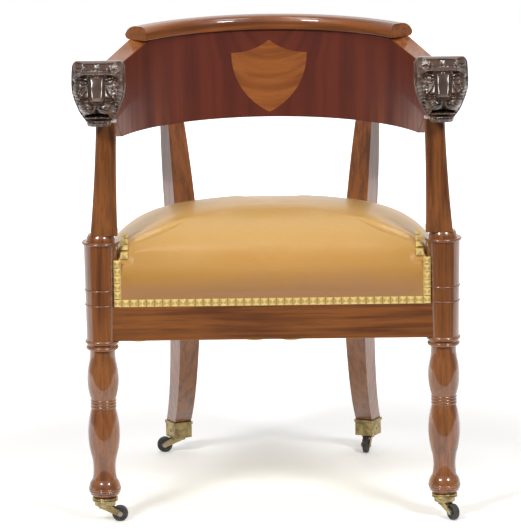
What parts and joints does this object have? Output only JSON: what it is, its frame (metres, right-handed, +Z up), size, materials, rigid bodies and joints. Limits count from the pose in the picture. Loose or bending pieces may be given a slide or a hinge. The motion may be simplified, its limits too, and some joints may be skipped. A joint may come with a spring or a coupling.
{
  "type": "desk armchair",
  "caption": "Tub-backed desk armchair with turned front legs, sabre rear legs on swivel casters, lion-head arms and a crowned leather seat with brass nails.",
  "frame": {"origin": "on the floor, under the middle of the object's box", "axes": "+Z up, +X to the sitter's left (right in the picture), -Y towards the front"},
  "size_m": [0.62, 0.5532, 0.7509],
  "materials": {
    "mahogany": "French polished, mid-brown with dark grain",
    "back_mahogany": "French polished, orange-brown, high gloss",
    "veneer": "book-matched veneer, dark red-brown, glossy",
    "shield": "inlaid veneer, orange-brown with curved figure, glossy",
    "carved_mahogany": "carved, dark bronze-brown, glossy and worn on the high spots",
    "beech": "unfinished",
    "leather": "tan hide, soft gloss, fine creases",
    "horsehair": "felted hair",
    "jute": "coarse weave",
    "cloth": "plain yellow-brown weave",
    "nail_brass": "bright, worn at the points",
    "brass": "aged, dull, dark in the hollows",
    "steel": "dull",
    "wheel": "dark grey composition, scuffed"
  },
  "bodies": {
    "chair": {"arm_dowels": "beech", "arm_left": "back_mahogany", "arm_right": "back_mahogany", "arm_support_left": "mahogany", "arm_support_right": "mahogany", "back_panel": "back_mahogany", "bottom_cloth": "cloth", "bottom_cloth_tacks": "steel", "caster_cup_front_left": "brass", "caster_cup_front_right": "brass", "caster_socket_rear_left": "brass", "caster_socket_rear_right": "brass", "corner_block_front_left": "beech", "corner_block_front_right": "beech", "corner_block_rear_left": "beech", "corner_block_rear_right": "beech", "corner_block_screws": "steel", "crest_rail": "back_mahogany", "decorative_nails": "nail_brass", "front_leg_left": "mahogany", "front_leg_right": "mahogany", "front_rail": "mahogany", "hessian": "jute", "lion_head_left": "carved_mahogany", "lion_head_right": "carved_mahogany", "rear_leg_left": "mahogany", "rear_leg_right": "mahogany", "rear_rail": "mahogany", "seat_cover": "leather", "seat_stuffing": "horsehair", "shield_inlay": "shield", "side_rail_left": "mahogany", "side_rail_right": "mahogany", "socket_pins": "brass", "veneer_left": "veneer", "veneer_right": "veneer", "webbing_crosswise": "jute", "webbing_lengthwise": "jute"},
    "swivel_front_left": {"caster_fork_front_left": "brass", "caster_axle_front_left": "steel"},
    "wheel_front_left": {"caster_wheel_front_left": "wheel"},
    "swivel_front_right": {"caster_fork_front_right": "brass", "caster_axle_front_right": "steel"},
    "wheel_front_right": {"caster_wheel_front_right": "wheel"},
    "swivel_rear_left": {"caster_fork_rear_left": "brass", "caster_axle_rear_left": "steel"},
    "wheel_rear_left": {"caster_wheel_rear_left": "wheel"},
    "swivel_rear_right": {"caster_fork_rear_right": "brass", "caster_axle_rear_right": "steel"},
    "wheel_rear_right": {"caster_wheel_rear_right": "wheel"}
  },
  "joints": [
    {"name": "swivel_front_left", "type": "hinge", "parent": "chair", "child": "swivel_front_left", "pos_m": [-0.27, -0.20655, 0.026], "axis": [0, 0, 1], "continuous": true},
    {"name": "wheel_front_left_spin", "type": "hinge", "parent": "swivel_front_left", "child": "wheel_front_left", "pos_m": [-0.2465, -0.20655, 0.0127], "axis": [0, 1, 0], "continuous": true},
    {"name": "swivel_front_right", "type": "hinge", "parent": "chair", "child": "swivel_front_right", "pos_m": [0.27, -0.20655, 0.026], "axis": [0, 0, 1], "continuous": true},
    {"name": "wheel_front_right_spin", "type": "hinge", "parent": "swivel_front_right", "child": "wheel_front_right", "pos_m": [0.2827, -0.22633, 0.0127], "axis": [0.8415, 0.5402, 0], "continuous": true},
    {"name": "swivel_rear_left", "type": "hinge", "parent": "chair", "child": "swivel_rear_left", "pos_m": [-0.1575, 0.25345, 0.026], "axis": [0, 0, 1], "continuous": true},
    {"name": "wheel_rear_left_spin", "type": "hinge", "parent": "swivel_rear_left", "child": "wheel_rear_left", "pos_m": [-0.181, 0.25345, 0.0127], "axis": [0, -1, 0], "continuous": true},
    {"name": "swivel_rear_right", "type": "hinge", "parent": "chair", "child": "swivel_rear_right", "pos_m": [0.1575, 0.25345, 0.026], "axis": [0, 0, 1], "continuous": true},
    {"name": "wheel_rear_right_spin", "type": "hinge", "parent": "swivel_rear_right", "child": "wheel_rear_right", "pos_m": [0.15354, 0.23029, 0.0127], "axis": [0.9857, -0.1685, 0], "continuous": true}
  ]
}
